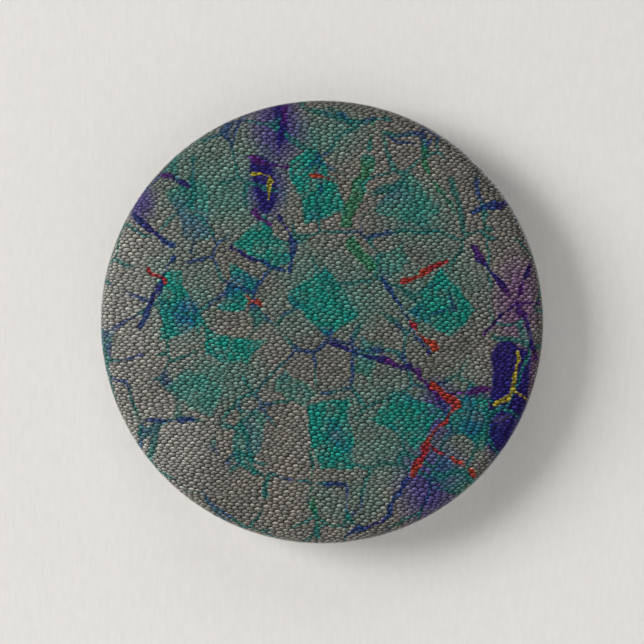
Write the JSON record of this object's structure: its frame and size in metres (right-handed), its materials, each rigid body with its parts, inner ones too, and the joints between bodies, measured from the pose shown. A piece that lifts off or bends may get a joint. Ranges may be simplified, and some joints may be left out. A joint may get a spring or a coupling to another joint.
{
  "type": "button badge",
  "caption": "Round domed button badge with a printed face under clear film, crimped to a plate with a wire pin.",
  "frame": {"origin": "centre of the plane of the rearmost flat band of the rim, on the badge's axis", "axes": "+Y along the badge's axis, out of its back; the face looks along -Y; +Z is the top of the artwork; the needle points along -X"},
  "size_m": [0.0572, 0.0088, 0.0572],
  "materials": {
    "clear_film": "clear polyester film, satin",
    "printed_paper": "printed paper with a pebbled grain and soft patches of teal, blue and violet",
    "tinplate": "bright rolled tinplate with light handling marks",
    "pin_wire": "drawn spring wire, nickel plated"
  },
  "bodies": {
    "badge": {"clear_film": "clear_film", "artwork_disc": "printed_paper", "front_shell": "tinplate", "back_plate": "tinplate", "pin_base_wire": "pin_wire"},
    "coil": {"pin_coil": "pin_wire"},
    "needle": {"pin_needle": "pin_wire"}
  },
  "joints": [
    {"name": "needle_press", "type": "hinge", "parent": "badge", "child": "coil", "pos_m": [0.0175, 0, 0.005], "axis": [0, -1, 0], "range_deg": [0, 7], "stiffness_Nm_per_rad": 0.16, "springref_deg": -5.73, "deforming": ["pin_coil"]},
    {"name": "needle_lift", "type": "hinge", "parent": "coil", "child": "needle", "pos_m": [0.0175, 0.00062, 0.008], "axis": [0, 0, -1], "range_deg": [0, 45], "stiffness_Nm_per_rad": 0.16, "springref_deg": -5.73, "deforming": ["pin_coil"]}
  ]
}
